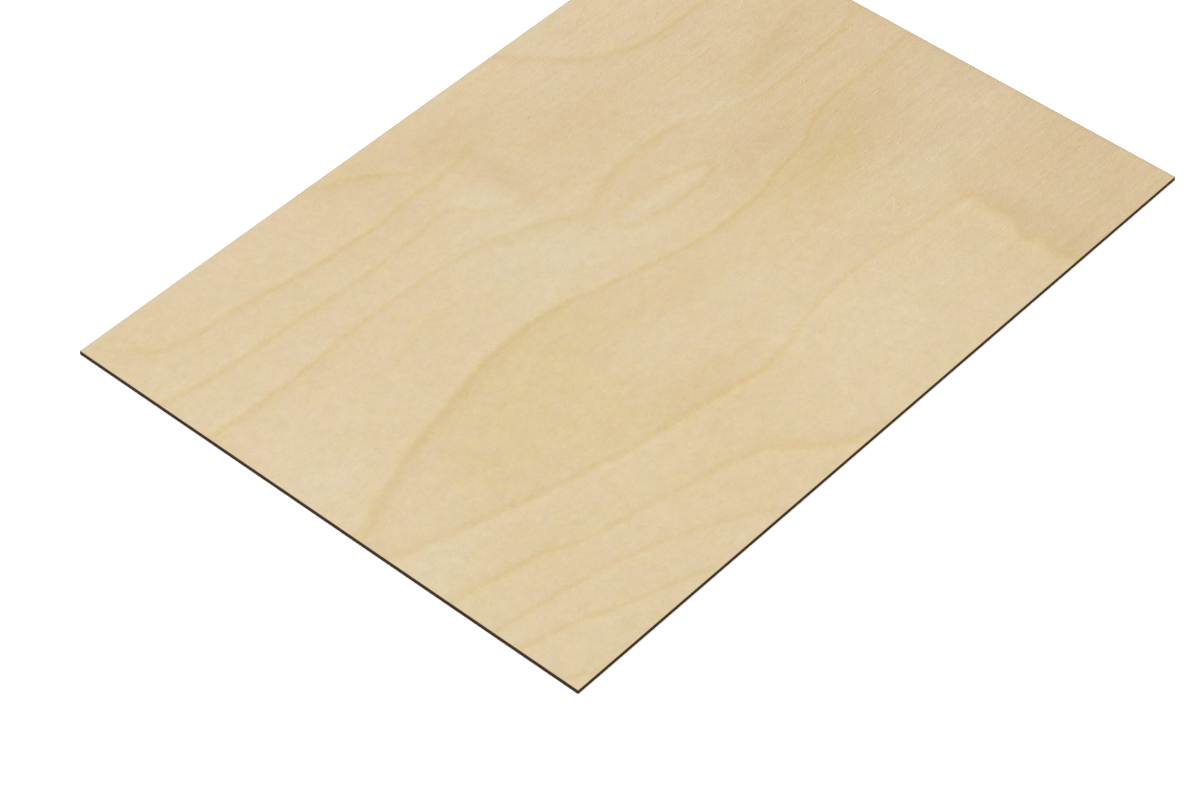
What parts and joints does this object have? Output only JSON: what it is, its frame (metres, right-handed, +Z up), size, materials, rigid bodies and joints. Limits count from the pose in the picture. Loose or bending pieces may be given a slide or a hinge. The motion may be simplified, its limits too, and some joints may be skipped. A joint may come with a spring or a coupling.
{
  "type": "plywood sheet",
  "caption": "Flat thin rectangular wood panel with a pale figured face veneer and straight dark laser-charred edges, used as sheet stock for cutting and model making.",
  "frame": {"origin": "middle of the back face, which lies on the level surface that the sheet rests on", "axes": "+Z up out of the good face, +X along the long side and the face grain, +Y along the short side"},
  "size_m": [0.297, 0.21, 0.0015],
  "materials": {
    "birch_veneer": "sanded bare birch veneer, unfinished and matt, with laser-charred dark brown edges"
  },
  "bodies": {
    "root": {"plywood_sheet": "birch_veneer"}
  },
  "joints": []
}
